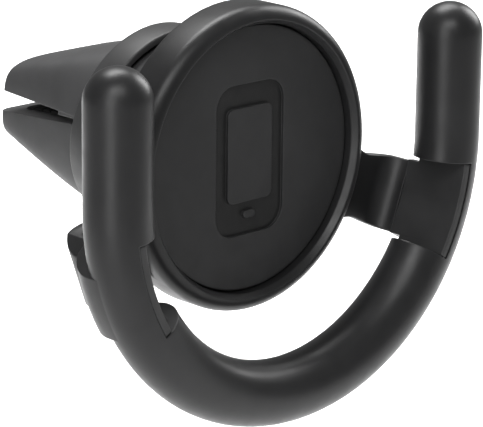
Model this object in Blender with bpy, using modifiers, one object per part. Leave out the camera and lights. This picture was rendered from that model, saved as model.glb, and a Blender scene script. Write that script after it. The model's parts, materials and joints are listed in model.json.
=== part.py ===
"""Car phone mount: a sprung vent clip, a ball joint, and a round head with a U-shaped cradle for a phone grip.

Units are metres, +Z is up and the head faces -Y. The origin is the middle of the clip's slot, which is level
for the vent's louvre. Clip parts are modelled along the cup's axis, which rises to the rear by CLIP_TILT.
"""

import math

import bmesh
import bpy
from mathutils import Matrix, Vector

MM = 0.001
DEG = math.pi / 180
FIT = 0.1 * MM  # gap between faces that bear on each other
SEAM = 0.3 * MM  # gap along a visible seam

# Cradle: a round bar bent to a U, prongs upwards
PRONG_HALF_SPACING = 21.0 * MM
BAR_RADIUS = 3.1 * MM
PRONG_RISE = 9.75 * MM  # from the U's centre to the centre of a prong's domed tip
CORE_RADIUS = 2.1 * MM
CHANNEL_RADIUS = 2.4 * MM
WINDOW_RADIUS = 20.55 * MM  # the windows' faces lie on a cylinder about the head's axis
INSERT_THICKNESS = 0.75 * MM
WINDOW_ANGLES = (-6.8 * DEG, -32.4 * DEG)
BLOCK_ANGLES = (-9.4 * DEG, -30.0 * DEG)
BLOCK_CORNER = ((20.7 * MM, -9.0 * DEG), (22.8 * MM, -12.3 * DEG))  # the cut across its top outer corner
BLOCK_EXTENSION = 1.5 * MM  # how far the bar is stretched rearwards at each window
EAR_ANGLE = -19.7 * DEG
BEND_STEPS = 24

# Head, from the ball's centre: y grows to the rear
CRADLE_Y = -12.6 * MM
SEAM_Y = -8.2 * MM
RIM_FRONT_Y = -8.34 * MM
LIP_Y = -7.75 * MM
PAD_FRONT_Y = -7.15 * MM
PAD_THICKNESS = 0.7 * MM
ADHESIVE_THICKNESS = 0.25 * MM
WEB_BACK_Y = -4.85 * MM
HOUSING_BACK_Y = -4.0 * MM
HEAD_RADIUS = 14.5 * MM
RIM_ROUNDING = 1.35 * MM
LIP_RADIUS = 12.73 * MM
PAD_RADIUS = 12.6 * MM
EAR_FRONT_Y = -6.1 * MM
EAR_BACK_Y = -4.95 * MM
EAR_HALF_WIDTH = 3.2 * MM
EAR_SEAM_HALF_WIDTH = 3.65 * MM
EAR_ROOT_FILLET = 4.2 * MM
EAR_OUTER_RADIUS = 22.3 * MM
EAR_START = 13.9 * MM  # inside the housing's wall
DOWEL_OFFSET = 0.88 * MM  # outside the bar's centre line
DOWEL_RADIUS = 0.3 * MM

# Ball joint
CLIP_TILT = 7.2 * DEG
BALL_RADIUS = 3.0 * MM
LINER_RADII = (3.15 * MM, 3.45 * MM)
SEAT_RADIUS = 3.6 * MM
SOCKET_BORE = 4.0 * MM
SOCKET_RADIUS = 4.8 * MM
SOCKET_BACK_Y = 3.4 * MM
SKIRT_RADII = (9.0 * MM, 10.0 * MM)
SKIRT_BACK_Y = 3.9 * MM
STUD_NECK_RADIUS = 1.4 * MM
STUD_THREAD_RADIUS = 1.25 * MM

# Vent clip: d is along its own axis from the ball's centre, and h is across it, upwards
SLOT_MIDDLE_Y = 13.9 * MM
SLOT_RISE = 2.4 * MM  # the slot is level, above the ball's centre
CUP_FRONT_D = 3.5 * MM
CUP_FLOOR_D = 5.9 * MM
CUP_BACK_D = 6.9 * MM
CUP_FRONT_RADIUS = 10.4 * MM
CUP_BACK_RADIUS = 10.0 * MM
JAW_FRONT_D = 7.15 * MM
JAW_TIP_D = 18.75 * MM
JAW_HALF_WIDTHS = (9.15 * MM, 8.95 * MM)  # root and tip
JAW_HALF_HEIGHTS = (8.6 * MM, 3.9 * MM)
JAW_SQUARENESS = (2.6, 4.6)
JAW_TIP_ROUNDING = (1.6 * MM, 0.9 * MM)  # taken off the tip's half width and half height
SLOT_HALF_GAPS = (0.36 * MM, 1.05 * MM)
LEDGE_D = 9.9 * MM  # nearer the cup than this, the upper jaw comes down to narrow the slot
LEDGE_HALF_GAP = 0.15 * MM
JAW_OPENING = 5.0 * DEG
PIN_D = 8.9 * MM
PIN_H = 4.3 * MM
PIN_RADIUS = 0.6 * MM
LUG_RADIUS = 1.2 * MM
LUG_X = (4.0 * MM, 5.4 * MM)

BALL_CENTRE = Vector((0, -SLOT_MIDDLE_Y, -SLOT_RISE))
AXIS_TO_Y = Matrix.Rotation(-math.pi / 2, 4, "X")  # a shape turned about Z is laid along +Y

for old in list(bpy.data.objects):
    bpy.data.objects.remove(old, do_unlink=True)

parts = bpy.data.collections.new("car_phone_mount")
cutters = bpy.data.collections.new("cutters")
for collection in (parts, cutters):
    bpy.context.scene.collection.children.link(collection)


def make_material(name, colour, roughness, metallic=0.0):
    material = bpy.data.materials.new(name)
    material.use_nodes = True
    shader = material.node_tree.nodes["Principled BSDF"]
    shader.inputs["Base Color"].default_value = (*colour, 1)
    shader.inputs["Roughness"].default_value = roughness
    shader.inputs["Metallic"].default_value = metallic
    return material


SOFT_BLACK = make_material("soft_black", (0.018, 0.018, 0.019), 0.5)
HARD_BLACK = make_material("hard_black", (0.014, 0.014, 0.015), 0.38)
PAD_BLACK = make_material("pad_black", (0.024, 0.024, 0.025), 0.62)
RUBBER = make_material("rubber", (0.012, 0.012, 0.012), 0.8)
NYLON = make_material("nylon", (0.62, 0.6, 0.54), 0.45)
STEEL = make_material("steel", (0.55, 0.56, 0.58), 0.3, 1.0)
ADHESIVE = make_material("adhesive", (0.35, 0.34, 0.31), 0.7)


def make_empty(name, location, tilt=0.0):
    empty = bpy.data.objects.new(name, None)
    empty.location = location
    empty.rotation_euler = (tilt, 0, 0)
    empty.empty_display_size = 5 * MM
    parts.objects.link(empty)
    return empty


head = make_empty("head_axis", BALL_CENTRE)
clip = make_empty("clip_axis", BALL_CENTRE, CLIP_TILT)


def place(name, mesh, parent, material=None, cutter=False, matrix=None):
    """Put a mesh in the scene as a part of the assembly or as a cutter, in its parent's axes."""
    obj = bpy.data.objects.new(name, mesh)
    obj.parent = parent
    if matrix is not None:
        obj.matrix_local = matrix
    if cutter:
        obj.hide_render = True
        obj.display_type = "WIRE"
        cutters.objects.link(obj)
        return obj
    parts.objects.link(obj)
    mesh.materials.append(material)
    mesh.shade_smooth()
    mesh.set_sharp_from_angle(angle=35 * DEG)
    return obj


def mesh_from(bm, name):
    bmesh.ops.recalc_face_normals(bm, faces=bm.faces)
    mesh = bpy.data.meshes.new(name)
    bm.to_mesh(mesh)
    bm.free()
    return mesh


def turned(name, profile, parent, material=None, steps=32, cutter=False, matrix=AXIS_TO_Y):
    """A body turned about its parent's Y axis from a closed profile of (radius, y), or one that ends on the axis.

    The profile runs down its outer side, which here is from the rear to the front.
    """
    mesh = bpy.data.meshes.new(name)
    points = [(radius, 0, y) for radius, y in profile]
    edges = [(i, i + 1) for i in range(len(points) - 1)]
    if min(profile[0][0], profile[-1][0]) > 0:
        edges.append((len(points) - 1, 0))
    mesh.from_pydata(points, edges, [])
    obj = place(name, mesh, parent, material, cutter, matrix)
    screw = obj.modifiers.new("turn", "SCREW")
    screw.steps = screw.render_steps = steps
    screw.use_merge_vertices = True
    screw.merge_threshold = 0.00001
    screw.use_smooth_shade = True
    return obj


def arc(centre, radius, start, end, count):
    """Points on an arc in the plane of a profile or an outline."""
    angles = [start + (end - start) * i / count for i in range(count + 1)]
    return [(centre[0] + radius * math.cos(a), centre[1] + radius * math.sin(a)) for a in angles]


def box(name, low, high, parent, cutter=True, material=None):
    bm = bmesh.new()
    bmesh.ops.create_cube(bm, size=1)
    size = [b - a for a, b in zip(low, high)]
    centre = [(a + b) / 2 for a, b in zip(low, high)]
    bmesh.ops.transform(bm, matrix=Matrix.Translation(centre) @ Matrix.Diagonal((*size, 1)), verts=bm.verts)
    return place(name, mesh_from(bm, name), parent, material, cutter)


def rod(name, radius, start, end, parent, sides=16, cutter=True, material=None):
    """A cylinder between two points in its parent's axes."""
    start, end = Vector(start), Vector(end)
    bm = bmesh.new()
    length = (end - start).length
    bmesh.ops.create_cone(bm, cap_ends=True, segments=sides, radius1=radius, radius2=radius, depth=length)
    turn = (end - start).to_track_quat("Z", "Y").to_matrix().to_4x4()
    bmesh.ops.transform(bm, matrix=Matrix.Translation((start + end) / 2) @ turn, verts=bm.verts)
    return place(name, mesh_from(bm, name), parent, material, cutter)


def prism(name, outline, front_y, back_y, parent, cutter=True, material=None):
    """An outline in the plane of X and Z, given as (x, z), extruded along Y."""
    curve = bpy.data.curves.new(name, "CURVE")
    curve.dimensions = "2D"
    curve.fill_mode = "BOTH"
    curve.extrude = (back_y - front_y) / 2
    spline = curve.splines.new("POLY")
    spline.points.add(len(outline) - 1)
    for point, (x, z) in zip(spline.points, outline):
        point.co = (x, z, 0, 1)
    spline.use_cyclic_u = True
    matrix = Matrix.Translation((0, (front_y + back_y) / 2, 0)) @ Matrix.Rotation(math.pi / 2, 4, "X")
    return solid_of_curve(name, curve, parent, cutter, material, matrix)


def solid_of_curve(name, curve, parent, cutter, material=None, matrix=None):
    """The welded mesh of a curve, which unlike the curve can be cut and joined."""
    guide = bpy.data.objects.new(name + "_guide", curve)
    cutters.objects.link(guide)
    guide.hide_render = True
    mesh = bpy.data.meshes.new_from_object(guide.evaluated_get(bpy.context.evaluated_depsgraph_get()))
    bpy.data.objects.remove(guide)
    bpy.data.curves.remove(curve)
    bm = bmesh.new()
    bm.from_mesh(mesh)
    bpy.data.meshes.remove(mesh)
    bmesh.ops.remove_doubles(bm, verts=bm.verts, dist=0.00001)
    if matrix is not None:
        bmesh.ops.transform(bm, matrix=matrix, verts=bm.verts)
    return place(name, mesh_from(bm, name), parent, material, cutter)


def boolean(obj, other, operation="DIFFERENCE"):
    modifier = obj.modifiers.new(operation.lower() + "_" + other.name, "BOOLEAN")
    modifier.operation = operation
    modifier.object = other
    return obj


def cut(obj, *others):
    for other in others:
        boolean(obj, other)
    return obj


def join(obj, *others):
    for other in others:
        boolean(obj, other, "UNION")
    return obj


# ---------------------------------------------------------------- cradle


def cradle_bar(name, radius, sides, cutter, material=None):
    """The U-shaped bar: half a circle, two straight prongs, and a domed end on each prong."""
    dome = [(math.sin(a), math.cos(a)) for a in (i * math.pi / 8 for i in range(1, 4))] + [(0.995, 0.1)]
    up = [(PRONG_HALF_SPACING, PRONG_RISE, 1)]
    up += [(PRONG_HALF_SPACING, PRONG_RISE + radius * rise, width) for rise, width in dome]
    down = [(-x, z, width) for x, z, width in reversed(up)]
    bend = [(x, z, 1) for x, z in arc((0, 0), PRONG_HALF_SPACING, math.pi, 2 * math.pi, BEND_STEPS)]
    curve = bpy.data.curves.new(name, "CURVE")
    curve.dimensions = "3D"
    curve.bevel_depth = radius
    curve.bevel_resolution = (sides - 4) // 2
    curve.use_fill_caps = True
    spline = curve.splines.new("POLY")
    points = down + bend + up
    spline.points.add(len(points) - 1)
    for point, (x, z, width) in zip(spline.points, points):
        point.co = (x, CRADLE_Y, z, 1)
        point.radius = width
    return solid_of_curve(name, curve, head, cutter, material)


def polar(radius, angle, side=1):
    return (side * radius * math.cos(angle), radius * math.sin(angle))


def sector(name, inner, outer, angles, front_y, back_y, side, cutter=True, material=None):
    """A piece of a ring about the head's axis, between two angles below the horizontal."""
    steps = 6
    sweep = [angles[0] + (angles[1] - angles[0]) * i / steps for i in range(steps + 1)]
    outline = [polar(outer, a, side) for a in sweep] + [polar(inner, a, side) for a in reversed(sweep)]
    return prism(name, outline, front_y, back_y, head, cutter, material)


def swept_block(name, section, angles, side):
    """A section of (radius, y) swept about the head's axis, to be joined to the bar."""
    bm = bmesh.new()
    corners = [bm.verts.new((side * r * math.cos(angles[0]), y, r * math.sin(angles[0]))) for r, y in section]
    face = bm.faces.new(corners)
    bmesh.ops.spin(
        bm, geom=[face, *face.verts, *face.edges], cent=(0, 0, 0), axis=(0, 1, 0), steps=6,
        angle=-side * (angles[1] - angles[0]), use_duplicate=False,
    )
    return place(name, mesh_from(bm, name), head, cutter=True)


def block_section(inset, back_y):
    """The bar's rearward stretch at a window: flat outside, rounded to the rear, cut off at back_y."""
    radius = BAR_RADIUS - inset
    centre_y = CRADLE_Y + BLOCK_EXTENSION
    end = math.asin((back_y - centre_y) / radius)
    bend = arc((PRONG_HALF_SPACING, centre_y), radius, 0, end, 4)
    inner = PRONG_HALF_SPACING - 1.2 * MM
    return [(inner, CRADLE_Y), (PRONG_HALF_SPACING + radius, CRADLE_Y), *bend, (inner, back_y)]


BLOCK_BACK_Y = SEAM_Y - SEAM
INSERT_OUTER = WINDOW_RADIUS + INSERT_THICKNESS
CUT_RADIUS = INSERT_OUTER + FIT
WINDOW_MARGIN = FIT / WINDOW_RADIUS
FRONT_CLEAR_Y = CRADLE_Y - 4 * MM

sleeve = cradle_bar("cradle_sleeve", BAR_RADIUS, 16, False, SOFT_BLACK)
channel = cradle_bar("core_channel", CHANNEL_RADIUS, 8, True)
core = cradle_bar("cradle_core", CORE_RADIUS, 8, False, HARD_BLACK)

for side, word in ((1, "right"), (-1, "left")):
    corner = [Vector(polar(radius, angle, side)) for radius, angle in BLOCK_CORNER]
    corner = [corner[0], Vector(polar(27 * MM, -6 * DEG, side)), corner[0].lerp(corner[1], 2.4)]
    block = swept_block("sleeve_block_" + word, block_section(0, BLOCK_BACK_Y), BLOCK_ANGLES, side)
    cut(block, prism("block_corner_" + word, corner, CRADLE_Y - 1 * MM, BLOCK_BACK_Y + 1 * MM, head))
    join(sleeve, block)
cut(sleeve, channel)
dowel_bores = {}
for side, word in ((1, "right"), (-1, "left")):
    lug_angles = (EAR_ANGLE + 5.5 * DEG, EAR_ANGLE - 5.5 * DEG)
    clear_angles = (EAR_ANGLE + 6.4 * DEG, EAR_ANGLE - 6.4 * DEG)
    lug_outer = PRONG_HALF_SPACING + 1.5 * MM
    lug_back_y = BLOCK_BACK_Y
    core_lug = sector(
        "core_lug_" + word, PRONG_HALF_SPACING - 1 * MM, lug_outer, lug_angles, CRADLE_Y, lug_back_y, side
    )
    lug_room = sector(
        "lug_room_" + word, PRONG_HALF_SPACING - 1 * MM, lug_outer + SEAM, clear_angles,
        CRADLE_Y, lug_back_y + 1 * MM, side,
    )
    window = sector(
        "window_" + word, 15 * MM, CUT_RADIUS, WINDOW_ANGLES, FRONT_CLEAR_Y, SEAM_Y + 2 * MM, side
    )
    join(core, core_lug)
    cut(core, window)
    cut(sleeve, lug_room, window)
    dowel_x, dowel_z = polar(PRONG_HALF_SPACING + DOWEL_OFFSET, EAR_ANGLE, side)
    dowel_ends = (CRADLE_Y + 1.7 * MM, SEAM_Y + 0.9 * MM)
    dowel_line = [(dowel_x, y, dowel_z) for y in dowel_ends]
    bore_line = [(dowel_x, y, dowel_z) for y in (dowel_ends[0] - FIT, dowel_ends[1] + FIT)]
    rod("ear_dowel_" + word, DOWEL_RADIUS, *dowel_line, head, 10, False, STEEL)
    dowel_bores[word] = rod("ear_dowel_bore_" + word, DOWEL_RADIUS + 0.08 * MM, *bore_line, head, sides=10)
    cut(core, dowel_bores[word])
    insert_angles = (WINDOW_ANGLES[0] - WINDOW_MARGIN, WINDOW_ANGLES[1] + WINDOW_MARGIN)
    insert = sector(
        "grip_insert_" + word, WINDOW_RADIUS, INSERT_OUTER, insert_angles,
        CRADLE_Y - 2.9 * MM, BLOCK_BACK_Y, side, cutter=False, material=HARD_BLACK,
    )
    rear_trim = [
        (WINDOW_ANGLES[0] + 2 * DEG, BLOCK_ANGLES[0]),
        (BLOCK_ANGLES[1], WINDOW_ANGLES[1] - 2 * DEG),
    ]
    for index, angles in enumerate(rear_trim):
        trim = sector(
            "insert_trim_%s_%d" % (word, index), WINDOW_RADIUS - 1 * MM, INSERT_OUTER + 1 * MM, angles,
            CRADLE_Y + 2.9 * MM, SEAM_Y + 2 * MM, side,
        )
        cut(insert, trim)

# ---------------------------------------------------------------- head frame, pad and rear cover

ADHESIVE_FRONT_Y = PAD_FRONT_Y + PAD_THICKNESS + FIT
WEB_FRONT_Y = ADHESIVE_FRONT_Y + ADHESIVE_THICKNESS + FIT
COVER_RADIUS = 13.2 * MM
COVER_SCREW_RADIUS = 11.4 * MM
COVER_SCREW_ANGLES = [(45 + 90 * i) * DEG for i in range(4)]
SOCKET_SCREW_RADIUS = 6.2 * MM
SOCKET_SCREW_ANGLES = [(90 + 120 * i) * DEG for i in range(3)]

rim_centre = (HEAD_RADIUS - RIM_ROUNDING, RIM_FRONT_Y + RIM_ROUNDING)
rim = arc(rim_centre, RIM_ROUNDING, 0, -0.5 * math.pi, 4)
frame_profile = [
    (0, WEB_BACK_Y),
    (COVER_RADIUS + FIT, WEB_BACK_Y),
    (COVER_RADIUS + FIT, HOUSING_BACK_Y),
    (HEAD_RADIUS - 0.3 * MM, HOUSING_BACK_Y),
    (HEAD_RADIUS, HOUSING_BACK_Y - 0.3 * MM),
    *rim,
    (LIP_RADIUS, LIP_Y),
    (LIP_RADIUS, WEB_FRONT_Y),
    (0, WEB_FRONT_Y),
]
frame = turned("head_frame", frame_profile, head, HARD_BLACK, steps=42)


def ear_outline(side):
    """An ear seen from the front: a strip along its own radius, flared where it leaves the round housing."""
    direction = Vector(polar(1, EAR_ANGLE, side))
    across = Vector((-direction.y, direction.x))
    reach = HEAD_RADIUS + EAR_ROOT_FILLET
    offset = EAR_HALF_WIDTH + EAR_ROOT_FILLET
    along = math.sqrt(reach**2 - offset**2)
    turn = math.atan2(offset, along)
    edge = arc((along, offset), EAR_ROOT_FILLET, -math.pi + turn, -0.5 * math.pi, 4)
    edge.append((WINDOW_RADIUS + 0.2 * MM, EAR_SEAM_HALF_WIDTH))
    edge.append((EAR_OUTER_RADIUS + 0.6 * MM, EAR_HALF_WIDTH - 0.8 * MM))
    whole = edge + [(u, -v) for u, v in reversed(edge)] + arc((0, 0), EAR_START, -turn, turn, 4)
    return [tuple(direction * u + across * v) for u, v in whole]


def ear_profile():
    """An ear seen along its width, as (distance from the head's axis, y): a plate that bends forwards."""
    inner_bend = WINDOW_RADIUS - (EAR_FRONT_Y - SEAM_Y)
    outer_bend = EAR_BACK_Y - SEAM_Y
    centre = EAR_OUTER_RADIUS - outer_bend
    front = arc((inner_bend, SEAM_Y), WINDOW_RADIUS - inner_bend, 0.5 * math.pi, 0, 5)
    back = arc((centre, SEAM_Y), outer_bend, 0, 0.5 * math.pi, 6)
    start = EAR_START - 2 * MM
    return [(start, EAR_FRONT_Y), *front, *back, (start, EAR_BACK_Y)]


def ear_slab(name, side):
    """The ear's profile extruded across the ear, much wider than the ear itself."""
    direction = polar(1, EAR_ANGLE, side)
    bm = bmesh.new()
    half = 9 * MM
    face = bm.faces.new([bm.verts.new((r, y, -half)) for r, y in ear_profile()])
    extruded = bmesh.ops.extrude_face_region(bm, geom=[face])["geom"]
    moved = [item for item in extruded if isinstance(item, bmesh.types.BMVert)]
    bmesh.ops.translate(bm, verts=moved, vec=(0, 0, 2 * half))
    turn = Matrix.Rotation(-math.atan2(direction[1], direction[0]), 4, "Y")
    bmesh.ops.transform(bm, matrix=turn, verts=bm.verts)
    return place(name, mesh_from(bm, name), head, cutter=True)


for side, word in ((1, "right"), (-1, "left")):
    ear = prism("ear_" + word, ear_outline(side), -10 * MM, -2 * MM, head)
    boolean(ear, ear_slab("ear_slab_" + word, side), "INTERSECT")
    join(frame, ear)
    cut(frame, dowel_bores[word])

rear_skirt = arc((0, 0), SKIRT_RADII[1], math.asin(SKIRT_BACK_Y / SKIRT_RADII[1]), -math.asin(0.41), 6)
inner_skirt = arc((0, 0), SKIRT_RADII[0], -math.asin(4.1 / 9), math.asin(SKIRT_BACK_Y / SKIRT_RADII[0]), 5)
cover_profile = [
    *rear_skirt,
    (COVER_RADIUS, HOUSING_BACK_Y - FIT),
    (COVER_RADIUS, WEB_BACK_Y + FIT),
    (inner_skirt[0][0], WEB_BACK_Y + FIT),
    *inner_skirt,
]
cover = turned("rear_cover", cover_profile, head, HARD_BLACK, steps=36)


def socket_head_screw(name, x, z, seat_y, tip_y, parent):
    """A small pan-head screw whose head sits behind seat_y and whose shank runs forwards to tip_y."""
    profile = [
        (0, seat_y + 0.7 * MM), (0.65 * MM, seat_y + 0.7 * MM), (0.95 * MM, seat_y + 0.4 * MM),
        (0.95 * MM, seat_y + 0.05 * MM), (0.4 * MM, seat_y + 0.05 * MM), (0.4 * MM, tip_y + 0.2 * MM), (0, tip_y),
    ]
    screw = turned(name, profile, parent, STEEL, steps=12, matrix=Matrix.Translation((x, 0, z)) @ AXIS_TO_Y)
    recess = box(
        name + "_slot", (x - 0.12 * MM, seat_y + 0.45 * MM, z - 0.8 * MM),
        (x + 0.12 * MM, seat_y + 1 * MM, z + 0.8 * MM), parent,
    )
    return cut(screw, recess)


SCREW_TIP_Y = WEB_FRONT_Y + 0.3 * MM
for index, angle in enumerate(COVER_SCREW_ANGLES):
    x, z = polar(COVER_SCREW_RADIUS, angle)
    hole = rod(
        "cover_hole_%d" % (index + 1), 0.5 * MM, (x, SCREW_TIP_Y - 0.1 * MM, z), (x, -2 * MM, z), head,
        sides=12,
    )
    cut(frame, hole)
    cut(cover, hole)
    socket_head_screw("cover_screw_%d" % (index + 1), x, z, HOUSING_BACK_Y - FIT, SCREW_TIP_Y, head)

turned(
    "face_pad",
    [
        (0, PAD_FRONT_Y + PAD_THICKNESS), (PAD_RADIUS, PAD_FRONT_Y + PAD_THICKNESS),
        (PAD_RADIUS, PAD_FRONT_Y + 0.15 * MM), (PAD_RADIUS - 0.15 * MM, PAD_FRONT_Y), (0, PAD_FRONT_Y),
    ],
    head, PAD_BLACK, steps=40,
)
turned(
    "adhesive_disc",
    [
        (0, ADHESIVE_FRONT_Y + ADHESIVE_THICKNESS), (11.9 * MM, ADHESIVE_FRONT_Y + ADHESIVE_THICKNESS),
        (11.9 * MM, ADHESIVE_FRONT_Y), (0, ADHESIVE_FRONT_Y),
    ],
    head, ADHESIVE, steps=32,
)

# ---------------------------------------------------------------- ball joint

SOCKET_FRONT_Y = WEB_BACK_Y + 0.05 * MM
SOCKET_FLANGE_BACK_Y = -3.95 * MM
socket = turned(
    "ball_socket",
    [
        (SOCKET_BORE, SOCKET_BACK_Y), (SOCKET_RADIUS, SOCKET_BACK_Y), (SOCKET_RADIUS, SOCKET_FLANGE_BACK_Y),
        (7.5 * MM, SOCKET_FLANGE_BACK_Y), (7.5 * MM, SOCKET_FRONT_Y), (SOCKET_BORE, SOCKET_FRONT_Y),
    ],
    head, HARD_BLACK,
)
for index, angle in enumerate(SOCKET_SCREW_ANGLES):
    x, z = polar(SOCKET_SCREW_RADIUS, angle)
    hole = rod(
        "socket_hole_%d" % (index + 1), 0.5 * MM, (x, SCREW_TIP_Y - 0.1 * MM, z), (x, -2 * MM, z), head,
        sides=12,
    )
    cut(frame, hole)
    cut(socket, hole)
    socket_head_screw("socket_screw_%d" % (index + 1), x, z, SOCKET_FLANGE_BACK_Y, SCREW_TIP_Y, head)

shoe_rim_y = -1.0 * MM
shoe_front_y = -4.2 * MM
shoe_cup = arc((0, 0), SEAT_RADIUS, -0.5 * math.pi, math.asin(shoe_rim_y / SEAT_RADIUS), 6)
turned(
    "friction_shoe",
    [*shoe_cup, (SOCKET_BORE - FIT, shoe_rim_y), (SOCKET_BORE - FIT, shoe_front_y), (0, shoe_front_y)],
    head, NYLON, steps=24,
)

SEAT_Y = (0.7 * MM, 2.3 * MM)
seat_cup = arc((0, 0), SEAT_RADIUS, math.asin(SEAT_Y[0] / SEAT_RADIUS), math.asin(SEAT_Y[1] / SEAT_RADIUS), 4)
turned(
    "ball_seat_ring", [*seat_cup, (SOCKET_BORE - FIT, SEAT_Y[1]), (SOCKET_BORE - FIT, SEAT_Y[0])],
    head, NYLON, steps=24
)
lock_ring = turned(
    "lock_ring",
    [(2.9 * MM, 3.3 * MM), (SOCKET_BORE - FIT, 3.3 * MM), (SOCKET_BORE - FIT, 2.4 * MM), (2.9 * MM, 2.4 * MM)],
    head, STEEL, steps=24,
)
for index, side in enumerate((1, -1)):
    low_x, high_x = sorted((side * 3.3 * MM, side * 4.5 * MM))
    cut(
        lock_ring,
        box("wrench_slot_%d" % (index + 1), (low_x, 2.9 * MM, -0.4 * MM), (high_x, 4 * MM, 0.4 * MM), head),
    )


def wave_spring():
    """A thin steel ring with three waves, between the web and the friction shoe."""
    inner, outer, thickness, amplitude, steps = 2.3 * MM, 3.7 * MM, 0.2 * MM, 0.08 * MM, 24
    middle_y = (WEB_BACK_Y + shoe_front_y) / 2
    bm = bmesh.new()
    corners = ((inner, -0.5), (outer, -0.5), (outer, 0.5), (inner, 0.5))
    loop = [bm.verts.new((r, middle_y + half * thickness, 0)) for r, half in corners]
    edges = [bm.edges.new((loop[i], loop[(i + 1) % 4])) for i in range(4)]
    bmesh.ops.spin(
        bm, geom=loop + edges, cent=(0, 0, 0), axis=(0, 1, 0), steps=steps, angle=2 * math.pi, use_merge=True
    )
    bmesh.ops.remove_doubles(bm, verts=bm.verts, dist=0.000001)
    for vert in bm.verts:
        vert.co.y += amplitude * math.cos(3 * math.atan2(vert.co.z, vert.co.x))
    return place("wave_spring", mesh_from(bm, "wave_spring"), head, STEEL)


wave_spring()

LINER_OPENING = 46 * DEG
outer_liner = arc((0, 0), LINER_RADII[1], 0.5 * math.pi - LINER_OPENING, -0.5 * math.pi, 6)
inner_liner = arc((0, 0), LINER_RADII[0], -0.5 * math.pi, 0.5 * math.pi - LINER_OPENING, 6)
turned("ball_liner", outer_liner + inner_liner, clip, NYLON, steps=20)

STUD_END_D = 9.3 * MM
neck_angle = math.acos(STUD_NECK_RADIUS / BALL_RADIUS)
turned(
    "ball_stud",
    [
        (0, STUD_END_D), (STUD_THREAD_RADIUS - 0.2 * MM, STUD_END_D), (STUD_THREAD_RADIUS, STUD_END_D - 0.2 * MM),
        (STUD_THREAD_RADIUS, CUP_FLOOR_D - FIT), (2.5 * MM, CUP_FLOOR_D - FIT), (2.5 * MM, CUP_FLOOR_D - 0.9 * MM),
        (STUD_NECK_RADIUS, CUP_FLOOR_D - 1.2 * MM),
        *arc((0, 0), BALL_RADIUS, neck_angle, -0.5 * math.pi, 6),
    ],
    clip, STEEL, steps=16,
)
turned(
    "stud_washer",
    [
        (1.4 * MM, CUP_BACK_D + 0.35 * MM), (2.5 * MM, CUP_BACK_D + 0.35 * MM), (2.5 * MM, CUP_BACK_D + 0.05 * MM),
        (1.4 * MM, CUP_BACK_D + 0.05 * MM),
    ],
    clip, STEEL, steps=24,
)
nut_ends = ((0, CUP_BACK_D + 0.4 * MM, 0), (0, CUP_BACK_D + 2.0 * MM, 0))
nut = rod("stud_nut", 2.6 * MM, *nut_ends, clip, 6, False, STEEL)
cut(nut, rod("nut_bore", 1.35 * MM, (0, 0, 0), (0, 12 * MM, 0), clip))

# ---------------------------------------------------------------- vent clip

base = turned(
    "clip_base",
    [
        (1.4 * MM, CUP_BACK_D), (CUP_BACK_RADIUS - 0.5 * MM, CUP_BACK_D), (CUP_BACK_RADIUS, CUP_BACK_D - 0.4 * MM),
        (CUP_FRONT_RADIUS, CUP_FRONT_D + 0.5 * MM), (CUP_FRONT_RADIUS - 0.2 * MM, CUP_FRONT_D),
        (9.75 * MM, CUP_FRONT_D), (9.25 * MM, 4.7 * MM), (9.25 * MM, CUP_FLOOR_D), (1.4 * MM, CUP_FLOOR_D),
    ],
    clip, HARD_BLACK, steps=40,
)


def hinge_lug(name, x, up):
    """A rounded ear behind the cup, which carries one end of a jaw's pin."""
    low_d, middle_d, h = CUP_BACK_D - 0.4 * MM, PIN_D, up * PIN_H
    outline = [(low_d, h - LUG_RADIUS), *arc((middle_d, h), LUG_RADIUS, -0.5 * math.pi, 0.5 * math.pi, 6)]
    outline.append((low_d, h + LUG_RADIUS))
    bm = bmesh.new()
    face = bm.faces.new([bm.verts.new((x[0], d, z)) for d, z in outline])
    extruded = bmesh.ops.extrude_face_region(bm, geom=[face])["geom"]
    moved = [item for item in extruded if isinstance(item, bmesh.types.BMVert)]
    bmesh.ops.translate(bm, verts=moved, vec=(x[1] - x[0], 0, 0))
    return place(name, mesh_from(bm, name), clip, cutter=True)


def blend(start, end, t):
    return start + (end - start) * t


def slot_face(d, up):
    """The height of a jaw's inner face at a distance along the clip's axis."""
    middle = (SLOT_RISE - d * math.sin(CLIP_TILT)) / math.cos(CLIP_TILT)
    if up > 0 and d < LEDGE_D:
        return middle + LEDGE_HALF_GAP
    return middle + up * blend(*SLOT_HALF_GAPS, (d - JAW_FRONT_D) / (JAW_TIP_D - JAW_FRONT_D))


def jaw_section(t, up):
    """The jaw's outline across the clip's axis, from one edge of the slot round the outside to the other."""
    rounding = max(0.0, (t - 0.93) / 0.07)
    fall = 1 - math.sqrt(max(0.0, 1 - rounding**2))
    width = blend(*JAW_HALF_WIDTHS, t) - JAW_TIP_ROUNDING[0] * fall
    height = blend(*JAW_HALF_HEIGHTS, t) - JAW_TIP_ROUNDING[1] * fall
    power = blend(*JAW_SQUARENESS, t)
    share = up * slot_face(blend(JAW_FRONT_D, JAW_TIP_D, t), up) / height
    start = math.asin(math.copysign(abs(share) ** (power / 2), share))
    points = []
    for step in range(15):
        angle = start + (math.pi - 2 * start) * step / 14
        x, h = (math.copysign(abs(part) ** (2 / power), part) for part in (math.cos(angle), math.sin(angle)))
        points.append((x * width, up * h * height))
    return points


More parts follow.
